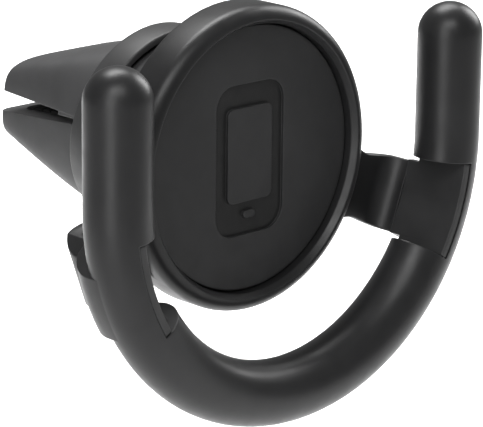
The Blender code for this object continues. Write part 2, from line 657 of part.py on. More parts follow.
def jaw(name, up):
    """A blade lofted from a half round root to a flat, rounded tip."""
    step_ends = (LEDGE_D - 0.05 * MM, LEDGE_D + 0.05 * MM)
    ledge = [(d - JAW_FRONT_D) / (JAW_TIP_D - JAW_FRONT_D) for d in step_ends]
    bm = bmesh.new()
    rings = []
    for t in (0, *ledge, 0.45, 0.68, 0.82, 0.93, 0.965, 0.988, 1):
        d = blend(JAW_FRONT_D, JAW_TIP_D, t)
        rings.append([bm.verts.new((x, d, h)) for x, h in jaw_section(t, up)])
    count = len(rings[0])
    for first, second in zip(rings, rings[1:]):
        for i in range(count):
            j = (i + 1) % count
            bm.faces.new((first[i], first[j], second[j], second[i]))
    bm.faces.new(rings[0])
    bm.faces.new(rings[-1])
    return place(name, mesh_from(bm, name), clip, SOFT_BLACK)


def opening_wedge(name, up):
    """The slice taken off the jaw's front outside its pin, so that it can swing open against the cup."""
    reach = 12 * MM
    outline = [(JAW_FRONT_D - 1 * MM, up * PIN_H), (JAW_FRONT_D, up * PIN_H)]
    lean = math.tan(JAW_OPENING + 1 * DEG) * (reach - PIN_H)
    outline += [(JAW_FRONT_D + lean, up * reach), (JAW_FRONT_D - 1 * MM, up * reach)]
    bm = bmesh.new()
    face = bm.faces.new([bm.verts.new((-12 * MM, d, h)) for d, h in outline])
    extruded = bmesh.ops.extrude_face_region(bm, geom=[face])["geom"]
    moved = [item for item in extruded if isinstance(item, bmesh.types.BMVert)]
    bmesh.ops.translate(bm, verts=moved, vec=(24 * MM, 0, 0))
    return place(name, mesh_from(bm, name), clip, cutter=True)


PAD_D = (11.0 * MM, 17.0 * MM)
PAD_HALF_WIDTH = 7.0 * MM
PAD_POCKET_H = {1: 2.45 * MM, -1: -1.65 * MM}
RIB_FOOT = 0.1 * MM  # how far a pad's face lies below the jaw's between the ribs
RIB_HEIGHT = 0.22 * MM
PIN_HALF_LENGTH = 7.2 * MM


def jaw_pad(name, up):
    """A ribbed rubber strip let into the jaw's inner face."""
    ribs = 5
    start, end = PAD_D[0] + FIT, PAD_D[1] - FIT
    pitch = (end - start) / ribs
    back_h = PAD_POCKET_H[up] - up * FIT
    outline = [(start, back_h)]
    for i in range(ribs):
        d = start + pitch * i
        foot = slot_face(d, up) + up * RIB_FOOT
        crest = foot - up * RIB_HEIGHT
        outline += [(d, foot), (d + pitch / 4, crest), (d + pitch * 0.75, crest), (d + pitch * 0.98, foot)]
    outline.append((end, back_h))
    bm = bmesh.new()
    face = bm.faces.new([bm.verts.new((-PAD_HALF_WIDTH + FIT, d, h)) for d, h in outline])
    extruded = bmesh.ops.extrude_face_region(bm, geom=[face])["geom"]
    moved = [item for item in extruded if isinstance(item, bmesh.types.BMVert)]
    bmesh.ops.translate(bm, verts=moved, vec=(2 * (PAD_HALF_WIDTH - FIT), 0, 0))
    return place(name, mesh_from(bm, name), clip, RUBBER)


def torsion_spring(name, up):
    """A coil about the jaw's pin, with one leg on the cup's floor and one towards the jaw."""
    turns, steps, coil_radius = 4, 8, 1.15 * MM
    half = 2.0 * MM
    points = []
    for i in range(turns * steps + 1):
        angle = math.pi + 2 * math.pi * i / steps
        x = -half + 2 * half * i / (turns * steps)
        points.append((x, PIN_D + coil_radius * math.cos(angle), up * (PIN_H + coil_radius * math.sin(angle))))
    first, last = points[0], points[-1]
    leg = up * 1.2 * MM
    points.insert(0, (first[0], first[1], first[2] - leg))
    points.append((last[0], last[1], last[2] + leg))
    curve = bpy.data.curves.new(name, "CURVE")
    curve.dimensions = "3D"
    curve.bevel_depth = 0.16 * MM
    curve.bevel_resolution = 0
    curve.use_fill_caps = True
    spline = curve.splines.new("POLY")
    spline.points.add(len(points) - 1)
    for point, place_at in zip(spline.points, points):
        point.co = (*place_at, 1)
    return solid_of_curve(name, curve, clip, False, STEEL)


nut_room = box("nut_room", (-3.2 * MM, 6 * MM, -3.2 * MM), (3.2 * MM, 9.8 * MM, 3.2 * MM), clip)
for up, word in ((1, "upper"), (-1, "lower")):
    for side in (1, -1):
        x = (LUG_X[0], LUG_X[1]) if side > 0 else (-LUG_X[1], -LUG_X[0])
        join(base, hinge_lug("hinge_lug_%s_%d" % (word, side), x, up))
    pin_line = [(x, PIN_D, up * PIN_H) for x in (-PIN_HALF_LENGTH, PIN_HALF_LENGTH)]
    wide_line = [(x, PIN_D, up * PIN_H) for x in (-PIN_HALF_LENGTH - FIT, PIN_HALF_LENGTH + FIT)]
    pin_bore = rod(word + "_pin_bore", PIN_RADIUS + 0.08 * MM, *wide_line, clip, sides=16)
    cut(base, pin_bore)
    rod(word + "_jaw_pin", PIN_RADIUS, *pin_line, clip, 16, False, STEEL)
    blade = jaw(word + "_jaw", up)
    low, high = sorted((up * 2.7 * MM, up * 5.9 * MM))
    pad_low, pad_high = sorted((PAD_POCKET_H[up], PAD_POCKET_H[up] - up * 3 * MM))
    cut(
        blade,
        box(word + "_hinge_room", (-5.8 * MM, 6 * MM, low), (5.8 * MM, 10.6 * MM, high), clip),
        nut_room,
        box(word + "_pad_room", (-PAD_HALF_WIDTH, PAD_D[0], pad_low), (PAD_HALF_WIDTH, PAD_D[1], pad_high), clip),
        opening_wedge(word + "_wedge", up),
        pin_bore,
    )
    jaw_pad(word + "_jaw_pad", up)
    torsion_spring(word + "_jaw_spring", up)
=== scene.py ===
"""A car phone mount: a sprung vent clip, a ball joint, and a round head with a U-shaped cradle.

The pieces come in the order in which the mount is put together. Each is modelled in millimetres in the
axes of its own half, the clip or the head, and then set in its place, in metres, on the body that it rides.
"""

import json
import math

import bmesh
import bpy
from mathutils import Matrix, Vector


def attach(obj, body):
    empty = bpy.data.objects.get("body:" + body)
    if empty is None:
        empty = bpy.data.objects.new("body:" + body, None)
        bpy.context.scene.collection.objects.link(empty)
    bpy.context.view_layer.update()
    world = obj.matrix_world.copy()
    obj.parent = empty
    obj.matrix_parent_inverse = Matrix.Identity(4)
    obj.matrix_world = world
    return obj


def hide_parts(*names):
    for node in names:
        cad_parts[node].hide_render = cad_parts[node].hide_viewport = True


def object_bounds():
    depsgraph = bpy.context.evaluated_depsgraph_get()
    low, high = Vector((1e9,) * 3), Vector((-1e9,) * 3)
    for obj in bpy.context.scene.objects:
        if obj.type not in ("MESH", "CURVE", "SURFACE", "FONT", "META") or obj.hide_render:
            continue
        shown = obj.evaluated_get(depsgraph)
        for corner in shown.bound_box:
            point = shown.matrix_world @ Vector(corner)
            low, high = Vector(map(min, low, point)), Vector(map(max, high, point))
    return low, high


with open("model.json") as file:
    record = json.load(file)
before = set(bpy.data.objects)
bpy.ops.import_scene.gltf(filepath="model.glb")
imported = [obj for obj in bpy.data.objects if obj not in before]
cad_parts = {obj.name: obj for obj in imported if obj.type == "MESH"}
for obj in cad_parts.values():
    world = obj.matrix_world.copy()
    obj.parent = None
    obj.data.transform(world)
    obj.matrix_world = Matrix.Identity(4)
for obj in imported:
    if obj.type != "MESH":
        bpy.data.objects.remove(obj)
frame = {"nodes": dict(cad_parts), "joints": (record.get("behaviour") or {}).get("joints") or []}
cad_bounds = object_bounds()

# ---------------------------------------------------------------- clip cup
# The clip's body is a shallow cup, moulded in black glass-filled nylon. Its rim shrouds the ball housing,
# and four hinge lugs on its back carry the jaws' pins.

MM = 0.001
ball_joint = next(joint for joint in frame["joints"] if joint["name"] == "head_swivel")
ball_centre = Vector(ball_joint["pos_m"])
CLIP_TILT = math.radians(7.2)
SHARP_FROM = math.radians(32)
head_axes = Matrix.Translation(ball_centre) @ Matrix.Scale(MM, 4)
clip_axes = Matrix.Translation(ball_centre) @ Matrix.Rotation(CLIP_TILT, 4, "X") @ Matrix.Scale(MM, 4)


def new_material(name):
    """A material, with its nodes, their links and its shader."""
    material = bpy.data.materials.new(name)
    material.use_nodes = True
    nodes = material.node_tree.nodes
    return material, nodes, material.node_tree.links, nodes["Principled BSDF"]


def moulded_plastic(name, colour, roughness, grain=0.14, relief=0.25, rub_and_highlight=0.6):
    """Moulded plastic: spark-eroded grain, faint flow marks, and edges painted paler, partly as rubbed wear
    and partly as painted highlight.
    """
    material, nodes, links, shader = new_material(name)
    place = nodes.new("ShaderNodeTexCoord")

    def noise(size, detail, distortion=0.0):
        texture = nodes.new("ShaderNodeTexNoise")
        texture.inputs["Scale"].default_value = 1 / (size * MM)
        texture.inputs["Detail"].default_value = detail
        texture.inputs["Distortion"].default_value = distortion
        links.new(place.outputs["Object"], texture.inputs["Vector"])
        return texture.outputs["Fac"]

    def spread(value, low, high, from_low=0.3, from_high=0.7):
        ranged = nodes.new("ShaderNodeMapRange")
        ranged.inputs["From Min"].default_value = from_low
        ranged.inputs["From Max"].default_value = from_high
        ranged.inputs["To Min"].default_value = low
        ranged.inputs["To Max"].default_value = high
        links.new(value, ranged.inputs["Value"])
        return ranged.outputs["Result"]

    def maths(operation, first, second):
        node = nodes.new("ShaderNodeMath")
        node.operation = operation
        for socket, value in zip(node.inputs, (first, second)):
            if isinstance(value, float):
                socket.default_value = value
            else:
                links.new(value, socket)
        return node.outputs["Value"]

    # The edges are found where the bevel normal turns away from the true normal. They are painted paler,
    # partly as rubbed wear and partly as painted edge highlight.
    edge = nodes.new("ShaderNodeBevel")
    edge.samples = 6
    edge.inputs["Radius"].default_value = 0.16 * MM
    true_normal = nodes.new("ShaderNodeNewGeometry")
    facing = nodes.new("ShaderNodeVectorMath")
    facing.operation = "DOT_PRODUCT"
    links.new(edge.outputs["Normal"], facing.inputs[0])
    links.new(true_normal.outputs["Normal"], facing.inputs[1])
    rubbed_and_highlit = spread(facing.outputs["Value"], rub_and_highlight, 0.0, 0.86, 0.995)
    rubbed_and_highlit = maths("MULTIPLY", rubbed_and_highlit, spread(noise(0.9, 3.0), 0.35, 1.0))

    flow = nodes.new("ShaderNodeMix")
    flow.data_type = "RGBA"
    flow.inputs["A"].default_value = (*[c * 0.86 for c in colour], 1)
    flow.inputs["B"].default_value = (*[c * 1.16 for c in colour], 1)
    links.new(spread(noise(5.0, 4.0, 0.8), 0.0, 1.0), flow.inputs["Factor"])
    # Mixes the paler colour onto the edges: painted edge highlight as well as wear.
    paler = nodes.new("ShaderNodeMix")
    paler.data_type = "RGBA"
    paler.inputs["B"].default_value = (*[min(1.0, c * 2.6 + 0.012) for c in colour], 1)
    links.new(flow.outputs["Result"], paler.inputs["A"])
    links.new(rubbed_and_highlit, paler.inputs["Factor"])
    links.new(paler.outputs["Result"], shader.inputs["Base Color"])

    shader.inputs["Specular IOR Level"].default_value = 0.36
    satin = spread(noise(1.6, 5.0, 0.4), roughness - 0.04, roughness + 0.04)
    satin = maths("SUBTRACT", satin, maths("MULTIPLY", rubbed_and_highlit, 0.1))
    links.new(satin, shader.inputs["Roughness"])

    bump = nodes.new("ShaderNodeBump")
    bump.inputs["Strength"].default_value = relief
    bump.inputs["Distance"].default_value = 0.02 * MM
    links.new(noise(grain, 2.0), bump.inputs["Height"])
    links.new(edge.outputs["Normal"], bump.inputs["Normal"])
    links.new(bump.outputs["Normal"], shader.inputs["Normal"])
    return material


def round_off(bm, geometry, width, segments, affect="VERTICES", clamp=False):
    """Round corners or edges to an arc of a few facets."""
    bmesh.ops.bevel(
        bm, geom=geometry, offset=width, offset_type="OFFSET", segments=segments, profile=0.5, affect=affect,
        clamp_overlap=clamp, material=-1,
    )


def lathe(profile, steps=144):
    """A body turned about the Y axis from the corners of half its section, as (radius, y, rounding)."""
    bm = bmesh.new()
    corners = [bm.verts.new((radius, y, 0)) for radius, y, _ in profile]
    bm.faces.new(corners)
    for size in sorted({rounding for *_, rounding in profile if rounding}):
        chosen = [corner for corner, (*_, rounding) in zip(corners, profile) if rounding == size]
        round_off(bm, chosen, size, segments=5)
    bmesh.ops.delete(bm, geom=bm.faces[:], context="FACES_ONLY")
    on_axis = [edge for edge in bm.edges if all(abs(vert.co.x) < 1e-6 for vert in edge.verts)]
    bmesh.ops.delete(bm, geom=on_axis, context="EDGES")
    bmesh.ops.spin(
        bm, geom=bm.verts[:] + bm.edges[:], cent=(0, 0, 0), axis=(0, 1, 0), dvec=(0, 0, 0),
        angle=math.tau, steps=steps, use_merge=True, use_duplicate=False,
    )
    bmesh.ops.remove_doubles(bm, verts=bm.verts, dist=1e-4)
    return bm


def thicken(bm, along):
    """Give a flat face its thickness, as a closed body."""
    grown = bmesh.ops.extrude_face_region(bm, geom=bm.faces[:])["geom"]
    moved = [item for item in grown if isinstance(item, bmesh.types.BMVert)]
    bmesh.ops.translate(bm, verts=moved, vec=along)
    return bm


def add_object(name, data):
    """An object of a mesh, a light or a camera, in the scene."""
    obj = bpy.data.objects.new(name, data)
    bpy.context.scene.collection.objects.link(obj)
    return obj


def solid_object(bm, name="blank"):
    """An object of a finished body, or of one that is about to be cut or joined, its faces outwards."""
    bmesh.ops.recalc_face_normals(bm, faces=bm.faces)
    mesh = bpy.data.meshes.new(name)
    bm.to_mesh(mesh)
    bm.free()
    return add_object(name, mesh)


def carve(bm, *tools, operation="DIFFERENCE"):
    """The body with each tool cut from it, joined to it, or kept only where it overlaps the tool."""
    for tool in tools:
        body, cutter = solid_object(bm), solid_object(tool)
        modifier = body.modifiers.new("carve", "BOOLEAN")
        modifier.operation = operation
        modifier.object = cutter
        bm = bmesh.new()
        bm.from_object(body, bpy.context.evaluated_depsgraph_get())
        for used in (body, cutter):
            bpy.data.objects.remove(used)
    return bm


def fit_piece(bm, name, axes, finish, slot, body, *cad_nodes):
    """Set a finished mesh in its place, on its body, in the stead of the CAD nodes that it stands for."""
    bmesh.ops.transform(bm, matrix=axes, verts=bm.verts)
    piece = solid_object(bm, name)
    piece.data.materials.clear()
    piece.data.materials.append(finish)
    piece.data.shade_smooth()
    piece.data.set_sharp_from_angle(angle=SHARP_FROM)
    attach(piece, body)
    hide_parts(*cad_nodes)
    return piece


cup_black = moulded_plastic("cup_black", (0.032, 0.032, 0.0325), 0.42)
CUP_BACK_D = 6.9
PIN_D, PIN_H = 8.9, 4.3
LUG_RADIUS, LUG_WIDTH, LUG_INNER_X = 1.2, 1.4, 4.0

cup = lathe([
    (1.4, CUP_BACK_D, 0), (10.0, CUP_BACK_D, 0.15), (10.4, 3.5, 0.25), (9.75, 3.5, 0.1),
    (9.25, 4.7, 0), (9.25, 5.9, 0.3), (1.4, 5.9, 0),
])
for up in (1, -1):
    for x in (LUG_INNER_X, -LUG_INNER_X - LUG_WIDTH):
        lug = bmesh.new()
        stand = Matrix.Translation((x, PIN_D, up * PIN_H)) @ Matrix.Rotation(math.pi / 2, 4, "Y")
        bmesh.ops.create_circle(lug, cap_ends=True, segments=32, radius=LUG_RADIUS, matrix=stand)
        for vert in lug.verts:
            if vert.co.y < PIN_D - 0.01:
                vert.co.y = CUP_BACK_D - 0.4
        cup = carve(cup, thicken(lug, (LUG_WIDTH, 0, 0)), operation="UNION")
fit_piece(cup, "clip_cup", clip_axes, cup_black, "hard_black", "clip", "clip_base")

# ---------------------------------------------------------------- ball stud
# A turned steel ball on a threaded neck, clamped through the cup's back by a washer and a nut. All three are
# zinc plated, and show only through the cup when the jaws stand open.


def turned_steel(name, dark, pale, roughness):
    """Turned steel, its plating a little uneven in tone and finely streaked."""
    material, nodes, links, shader = new_material(name)
    shader.inputs["Metallic"].default_value = 1.0
    place = nodes.new("ShaderNodeTexCoord")
    turning = nodes.new("ShaderNodeTexNoise")
    turning.inputs["Scale"].default_value = 1 / (0.35 * MM)
    turning.inputs["Detail"].default_value = 4
    links.new(place.outputs["Object"], turning.inputs["Vector"])
    tone = nodes.new("ShaderNodeValToRGB")
    tone.color_ramp.elements[0].position = 0.35
    tone.color_ramp.elements[0].color = (*dark, 1)
    tone.color_ramp.elements[1].position = 0.7
    tone.color_ramp.elements[1].color = (*pale, 1)
    links.new(turning.outputs["Fac"], tone.inputs["Fac"])
    links.new(tone.outputs["Color"], shader.inputs["Base Color"])
    polish = nodes.new("ShaderNodeMapRange")
    polish.inputs["To Min"].default_value = roughness - 0.08
    polish.inputs["To Max"].default_value = roughness + 0.1
    links.new(turning.outputs["Fac"], polish.inputs["Value"])
    links.new(polish.outputs["Result"], shader.inputs["Roughness"])
    streak = nodes.new("ShaderNodeTexNoise")
    streak.inputs["Scale"].default_value = 1 / (0.12 * MM)
    streak.inputs["Detail"].default_value = 2
    links.new(place.outputs["Object"], streak.inputs["Vector"])
    scratch = nodes.new("ShaderNodeBump")
    scratch.inputs["Strength"].default_value = 0.15
    scratch.inputs["Distance"].default_value = 0.02 * MM
    links.new(streak.outputs["Fac"], scratch.inputs["Height"])
    links.new(scratch.outputs["Normal"], shader.inputs["Normal"])
    return material


def refinish(finish, *cad_nodes):
    """Give CAD nodes that stay as they are a finish of their own."""
    for name in cad_nodes:
        for slot in frame["nodes"][name].material_slots:
            slot.material = finish


zinc_plate = turned_steel("zinc_plate", (0.30, 0.30, 0.31), (0.46, 0.46, 0.47), 0.32)
refinish(zinc_plate, "ball_stud", "stud_washer", "stud_nut")

# ---------------------------------------------------------------- jaws
# Two blades of soft-touch black plastic, half round at the root and flat at the tip. Each turns on
# a steel pin behind the cup, and a slice off its root lets it swing open against the cup.

jaw_black = moulded_plastic("jaw_black", (0.045, 0.045, 0.046), 0.46, grain=0.16)
JAW_FRONT_D, JAW_TIP_D = 7.0, 18.75
ROOT_SIZE, TIP_SIZE, TIP_ROUNDING = (9.15, 8.6), (8.95, 3.9), (1.6, 0.9)
TIP_ROUNDING_START = 0.93
SLOT_RISE, SLOT_HALF_GAPS = 2.4, (0.36, 1.05)
SLOT_EDGE_ROUNDING = 0.4
LEDGE_D, LEDGE_HALF_GAP, LEDGE_TOP, LEDGE_NARROWING = 9.9, 0.15, 1.1, 0.996
ROOM_START_D, HINGE_ROOM_HALF_WIDTH, HINGE_ROOM_END_D, HINGE_ROOM_H = 6, 5.8, 10.6, (2.7, 5.9)
NUT_ROOM_HALF_WIDTH, NUT_ROOM_END_D = 3.2, 9.8
JAW_OPENING = math.radians(6)
PAD_D, PAD_HALF_WIDTH, PAD_POCKET_H = (11.0, 17.0), 7.0, {1: 2.45, -1: -1.65}
POCKET_REACH = 3


def blend(start, end, t):
    return start + (end - start) * t


def slot_middle(d):
    """The slot's mid-height in the clip's axes: level, although the clip's axis rises."""
    return (SLOT_RISE - d * math.sin(CLIP_TILT)) / math.cos(CLIP_TILT)


def slot_face(d, up):
    """The height of a jaw's inner face, which stands further off the slot's middle towards the mouth."""
    return slot_middle(d) + up * blend(*SLOT_HALF_GAPS, (d - JAW_FRONT_D) / (JAW_TIP_D - JAW_FRONT_D))


def jaw_ring(bm, t, fall):
    """One section of both jaws together, at t of their length: rounder at the root, squarer at the tip."""
    width = blend(ROOT_SIZE[0], TIP_SIZE[0], t) - TIP_ROUNDING[0] * fall
    height = blend(ROOT_SIZE[1], TIP_SIZE[1], t) - TIP_ROUNDING[1] * fall
    power = 2 / blend(2.6, 4.6, t)
    ring = bmesh.ops.create_circle(bm, segments=96, radius=1)["verts"]
    for vert in ring:
        x, h = vert.co.x, vert.co.y
        vert.co = (
            math.copysign(abs(x) ** power, x) * width, blend(JAW_FRONT_D, JAW_TIP_D, t),
            math.copysign(abs(h) ** power, h) * height,
        )
    return ring


def both_jaws():
    """The jaws before they are parted: sections bridged from the root to the rounded tip."""
    bm = bmesh.new()
    straight = [(TIP_ROUNDING_START * i / 12, 0) for i in range(13)]
    turns = [0.5 * math.pi * i / 9 for i in range(1, 10)]
    tip = [(blend(TIP_ROUNDING_START, 1, math.sin(a)), 1 - math.cos(a)) for a in turns]
    rings = [jaw_ring(bm, t, fall) for t, fall in straight + tip]
    for first, second in zip(rings, rings[1:]):
        edges = {edge for vert in first + second for edge in vert.link_edges if len(edge.link_faces) < 2}
        between = [edge for edge in edges if {*edge.verts} <= {*first} or {*edge.verts} <= {*second}]
        bmesh.ops.bridge_loops(bm, edges=between)
    bmesh.ops.holes_fill(bm, edges=[edge for edge in bm.edges if edge.is_boundary], sides=0)
    return bm


def slice_off(bm, point, normal):
    """Cut away what lies on the normal's side of a plane, and close the cut."""
    geometry = bm.verts[:] + bm.edges[:] + bm.faces[:]
    cut = bmesh.ops.bisect_plane(
        bm, geom=geometry, dist=1e-5, plane_co=point, plane_no=normal, clear_outer=True, clear_inner=False
    )["geom_cut"]
    rim = [item for item in cut if isinstance(item, bmesh.types.BMEdge) and item.is_boundary]
    bmesh.ops.holes_fill(bm, edges=rim, sides=0)
    return rim


def block(low, high):
    bm = bmesh.new()
    size = [b - a for a, b in zip(low, high)]
    centre = [(a + b) / 2 for a, b in zip(low, high)]
    bmesh.ops.create_cube(bm, size=1, matrix=Matrix.Translation(centre) @ Matrix.Diagonal((*size, 1)))
    return bm


for up, word in ((1, "upper"), (-1, "lower")):
    rise = (slot_face(JAW_TIP_D, up) - slot_face(JAW_FRONT_D, up)) / (JAW_TIP_D - JAW_FRONT_D)
    jaw = both_jaws()
    slice_off(jaw, (0, JAW_FRONT_D, slot_face(JAW_FRONT_D, up)), (0, up * rise, -up))
    corners = [
        edge for edge in jaw.edges
        if edge.is_manifold and edge.calc_face_angle() > math.radians(50) and edge.calc_length() > 1e-3
    ]
    round_off(jaw, corners, SLOT_EDGE_ROUNDING, segments=4, affect="EDGES", clamp=True)
    if up > 0:
        ledge = both_jaws()
        slice_off(ledge, (0, LEDGE_D, 0), (0, 1, 0))
        slice_off(ledge, (0, LEDGE_D, slot_middle(LEDGE_D) + LEDGE_HALF_GAP), (0, -math.tan(CLIP_TILT), -1))
        slice_off(ledge, (0, LEDGE_D, slot_middle(LEDGE_D) + LEDGE_TOP), (0, math.tan(CLIP_TILT), 1))
        bmesh.ops.scale(ledge, verts=ledge.verts, vec=(LEDGE_NARROWING, 1, 1))
        jaw = carve(jaw, ledge, operation="UNION")
    slice_off(jaw, (0, JAW_FRONT_D, up * PIN_H), (0, -math.cos(JAW_OPENING), up * math.sin(JAW_OPENING)))
    low, high = sorted(up * h for h in HINGE_ROOM_H)
    pad_low, pad_high = sorted((PAD_POCKET_H[up], PAD_POCKET_H[up] - up * POCKET_REACH))
    nut_half = NUT_ROOM_HALF_WIDTH
    jaw = carve(
        jaw,
        block((-HINGE_ROOM_HALF_WIDTH, ROOM_START_D, low), (HINGE_ROOM_HALF_WIDTH, HINGE_ROOM_END_D, high)),
        block((-nut_half, ROOM_START_D, -nut_half), (nut_half, NUT_ROOM_END_D, nut_half)),
        block((-PAD_HALF_WIDTH, PAD_D[0], pad_low), (PAD_HALF_WIDTH, PAD_D[1], pad_high)),
    )
    fit_piece(jaw, word + "_blade", clip_axes, jaw_black, "soft_black", word + "_jaw", word + "_jaw")

# ---------------------------------------------------------------- jaw pins and springs
# Each jaw turns on a hardened steel pin, and a wire torsion spring round the pin closes it. Both are plain
# steel, drawn and lightly oiled.

drawn_steel = turned_steel("drawn_steel", (0.20, 0.20, 0.205), (0.34, 0.34, 0.35), 0.28)
for word in ("upper", "lower"):
    refinish(drawn_steel, word + "_jaw_pin", word + "_jaw_spring")

# ---------------------------------------------------------------- jaw pads
# A strip of soft black rubber is let into a pocket in each jaw's inner face. Its cross ribs, with rounded
# crests, grip the louvre.

grip_rubber = moulded_plastic("grip_rubber", (0.011, 0.011, 0.011), 0.72, grain=0.1, relief=0.5, rub_and_highlight=0.2)
RIBS, RIB_FOOT, RIB_HEIGHT, RIB_ROUNDING, PAD_FIT = 5, 0.1, 0.22, 0.09, 0.1

for up, word in ((1, "upper"), (-1, "lower")):
    start, end = PAD_D[0] + PAD_FIT, PAD_D[1] - PAD_FIT
    pitch = (end - start) / RIBS
    back_h = PAD_POCKET_H[up] - up * PAD_FIT
    outline = [(start, back_h)]
    crest_marks = []
    for i in range(RIBS):
        d = start + pitch * i
        foot = slot_face(d, up) + up * RIB_FOOT
        crest = foot - up * RIB_HEIGHT
        crest_marks += [len(outline) + 1, len(outline) + 2]
        outline += [(d, foot), (d + 0.25 * pitch, crest), (d + 0.75 * pitch, crest), (d + 0.98 * pitch, foot)]
    outline.append((end, back_h))
    strip = bmesh.new()
    corners = [strip.verts.new((-PAD_HALF_WIDTH + PAD_FIT, d, h)) for d, h in outline]
    strip.faces.new(corners)
    round_off(strip, [corners[i] for i in crest_marks], RIB_ROUNDING, segments=3, clamp=True)
    thicken(strip, (2 * (PAD_HALF_WIDTH - PAD_FIT), 0, 0))
    fit_piece(strip, word + "_rib_pad", clip_axes, grip_rubber, "rubber", word + "_jaw", word + "_jaw_pad")

# ---------------------------------------------------------------- ball joint
# The ball sits in a split acetal liner and seat ring. Behind them a friction shoe and a wave spring are held
# in a nylon socket by a lock ring and three screws, all inside the housing.

acetal = moulded_plastic("acetal", (0.32, 0.31, 0.29), 0.3, grain=0.1, relief=0.1, rub_and_highlight=0.1)
refinish(acetal, "ball_liner", "ball_seat_ring", "friction_shoe")
socket_nylon = moulded_plastic("socket_nylon", (0.013, 0.013, 0.0135), 0.45)
refinish(socket_nylon, "ball_socket", "lock_ring")
refinish(drawn_steel, "wave_spring")
screw_steel = turned_steel("screw_steel", (0.045, 0.046, 0.05), (0.1, 0.1, 0.105), 0.36)
refinish(screw_steel, "socket_screw_1", "socket_screw_2", "socket_screw_3")

# ---------------------------------------------------------------- ball housing
# The rear cover and the housing round the ball are one black moulding: a flange let into the back of the
# head, and a spherical skirt that runs into the clip's cup.

housing_black = moulded_plastic("housing_black", (0.045, 0.045, 0.046), 0.42)
SKIRT_OUTER, SKIRT_INNER, SKIRT_BACK_Y = 10.0, 9.0, 3.9
COVER_RADIUS, COVER_FRONT_Y, COVER_BACK_Y = 13.2, -4.75, -4.1


def sphere_arc(radius, start_y, end_y, steps):
    """Corners along a sphere's meridian between two heights on its axis."""
    start, end = math.asin(start_y / radius), math.asin(end_y / radius)
    angles = [blend(start, end, i / steps) for i in range(steps + 1)]
    return [(radius * math.cos(a), radius * math.sin(a), 0) for a in angles]


skirt = [
    *sphere_arc(SKIRT_OUTER, SKIRT_BACK_Y, COVER_BACK_Y, 28),
    (COVER_RADIUS, COVER_BACK_Y, 0.15), (COVER_RADIUS, COVER_FRONT_Y, 0.1),
    (math.sqrt(SKIRT_INNER**2 - COVER_FRONT_Y**2), COVER_FRONT_Y, 0),
    *sphere_arc(SKIRT_INNER, COVER_FRONT_Y + 0.2, SKIRT_BACK_Y, 20),
]
fit_piece(
    lathe(skirt), "ball_housing", head_axes, housing_black, "hard_black", "head", "rear_cover"
)

# ---------------------------------------------------------------- cover screws
# Four small pan-head screws with cross recesses hold the cover. They are turned from steel, and blackened
# against reflections.

SCREW_CIRCLE, SCREW_SEAT_Y = 11.4, -4.1
CROSS_HALF_LENGTH, CROSS_HALF_WIDTH = 0.5, 0.09

for number in range(4):
    angle = math.radians(45 + 90 * number)
    x, z = SCREW_CIRCLE * math.cos(angle), SCREW_CIRCLE * math.sin(angle)
    screw = lathe([
        (0, SCREW_SEAT_Y + 0.72, 0), (0.55, SCREW_SEAT_Y + 0.68, 0.2), (0.95, SCREW_SEAT_Y + 0.4, 0.15),
        (0.95, SCREW_SEAT_Y + 0.04, 0.05), (0.4, SCREW_SEAT_Y + 0.04, 0), (0.4, SCREW_SEAT_Y - 1.4, 0),
        (0, SCREW_SEAT_Y - 1.6, 0),
    ], steps=48)
    top, floor_y = SCREW_SEAT_Y + 1, SCREW_SEAT_Y + 0.32
    arm = (CROSS_HALF_LENGTH, CROSS_HALF_WIDTH)
    for half_x, half_z in (arm, arm[::-1]):
        screw = carve(screw, block((-half_x, floor_y, -half_z), (half_x, top, half_z)))
    spot = Matrix.Translation((x, 0, z)) @ Matrix.Rotation(0.7 * number, 4, "Y")
    fit_piece(
        screw, "rear_screw_%d" % (number + 1), head_axes @ spot, screw_steel, "steel", "head",
        "cover_screw_%d" % (number + 1),
    )

# ---------------------------------------------------------------- head shell
# The head's body is one black moulding: a shallow dish with a rounded rim, and two ears that run out and
# bend forwards to carry the cradle.

shell_black = moulded_plastic("shell_black", (0.012, 0.012, 0.0125), 0.38)
HEAD_RADIUS, RIM_ROUNDING, RIM_FRONT_Y = 14.5, 1.35, -8.34
LIP_RADIUS, LIP_Y = 12.73, -7.75
DISH_FLOOR_Y, WEB_BACK_Y, HOUSING_BACK_Y = -6.0, -4.85, -4.0
WINDOW_RADIUS, SEAM_Y = 20.55, -8.2
EAR_ANGLE, EAR_HALF_WIDTH, EAR_SEAM_HALF_WIDTH, EAR_ROOT_FILLET = math.radians(-19.7), 3.2, 3.65, 4.2
EAR_FRONT_Y, EAR_BACK_Y, EAR_OUTER_RADIUS = -6.1, -4.95, 22.3


def arc(centre, radius, start, end, count):
    """Points on an arc, from one angle in degrees to another."""
    angles = [math.radians(blend(start, end, i / count)) for i in range(count + 1)]
    return [(centre[0] + radius * math.cos(a), centre[1] + radius * math.sin(a)) for a in angles]


def plate(outline, axis, low, high):
    """A closed outline across an axis, given as (x, z) or (x, y), extruded along that axis."""
    bm = bmesh.new()
    if axis == "Y":
        corners = [(x, low, z) for x, z in outline]
        along = (0, high - low, 0)
    else:
        corners = [(x, y, low) for x, y in outline]
        along = (0, 0, high - low)
    bm.faces.new([bm.verts.new(corner) for corner in corners])
    return thicken(bm, along)


def soften(bm, width, segments=3, steeper_than=45, seam_y=None):
    """Round every edge that is sharper than an angle, but for those that lie on a seam."""
    bmesh.ops.remove_doubles(bm, verts=bm.verts, dist=0.002)
    bmesh.ops.dissolve_degenerate(bm, edges=bm.edges, dist=0.002)
    limit = math.radians(steeper_than)
    edges = [edge for edge in bm.edges if edge.is_manifold and edge.calc_face_angle() > limit]
    if seam_y is not None:
        edges = [edge for edge in edges if max(abs(vert.co.y - seam_y) for vert in edge.verts) > 0.02]
    round_off(bm, edges, width, segments, affect="EDGES", clamp=True)
    return bm


